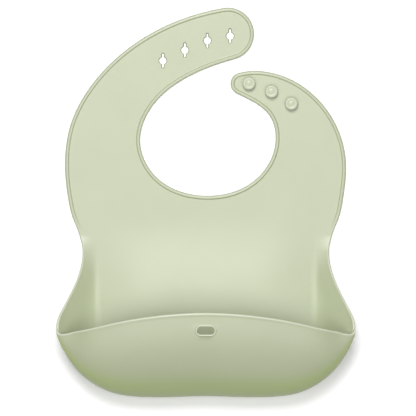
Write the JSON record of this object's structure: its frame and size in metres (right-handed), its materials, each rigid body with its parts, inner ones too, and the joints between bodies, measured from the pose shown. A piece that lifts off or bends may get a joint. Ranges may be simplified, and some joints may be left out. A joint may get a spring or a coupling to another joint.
{
  "type": "silicone bib",
  "caption": "Moulded silicone baby bib with an open catch pocket, a curved neck opening and straps that fasten with studs through keyholes.",
  "frame": {"origin": "on the surface the bib lies on, under the middle of its outline", "axes": "+Y from the pocket towards the neck straps, +Z out of the front face, +X to the right seen from the front"},
  "size_m": [0.2294, 0.2993, 0.0549],
  "materials": {
    "silicone": "satin"
  },
  "bodies": {
    "pocket_base": {"lower_back_panel": "silicone", "pocket_floor": "silicone", "left_gusset": "silicone", "right_gusset": "silicone", "pocket_flex_band": "silicone", "waist_flex_band": "silicone"},
    "pocket_front": {"pocket_front_wall": "silicone", "slot_collar": "silicone"},
    "chest": {"chest_panel": "silicone", "hole_strap_shoulder_band": "silicone", "stud_strap_shoulder_band": "silicone"},
    "hole_strap": {"hole_strap_root": "silicone", "hole_strap_flex_band": "silicone"},
    "hole_strap_tip": {"hole_strap_end": "silicone"},
    "stud_strap": {"stud_strap": "silicone", "stud_1": "silicone", "stud_2": "silicone", "stud_3": "silicone"}
  },
  "joints": [
    {"name": "chest_fold", "type": "hinge", "parent": "pocket_base", "child": "chest", "pos_m": [0, -0.022, 0.0009], "axis": [1, 0, 0], "range_deg": [-45, 125], "stiffness_Nm_per_rad": 0.015, "deforming": ["waist_flex_band"]},
    {"name": "hole_strap_bend", "type": "hinge", "parent": "chest", "child": "hole_strap", "pos_m": [0, 0.048, 0.0009], "axis": [1, 0, 0], "range_deg": [-90, 20], "stiffness_Nm_per_rad": 0.005, "deforming": ["hole_strap_shoulder_band"]},
    {"name": "hole_strap_tip_bend", "type": "hinge", "parent": "hole_strap", "child": "hole_strap_tip", "pos_m": [-0.0502, 0.0973, 0.0009], "axis": [0.5864, -0.81, 0], "range_deg": [-60, 20], "stiffness_Nm_per_rad": 0.004, "deforming": ["hole_strap_flex_band"]},
    {"name": "stud_strap_bend", "type": "hinge", "parent": "chest", "child": "stud_strap", "pos_m": [0, 0.048, 0.0009], "axis": [1, 0, 0], "range_deg": [-90, 20], "stiffness_Nm_per_rad": 0.005, "deforming": ["stud_strap_shoulder_band"]},
    {"name": "pocket_flex", "type": "hinge", "parent": "pocket_base", "child": "pocket_front", "pos_m": [0, -0.148, 0.017], "axis": [1, 0, 0], "range_deg": [-30, 15], "stiffness_Nm_per_rad": 0.3, "springref_deg": 1.89, "deforming": ["pocket_flex_band", "left_gusset", "right_gusset"]}
  ]
}
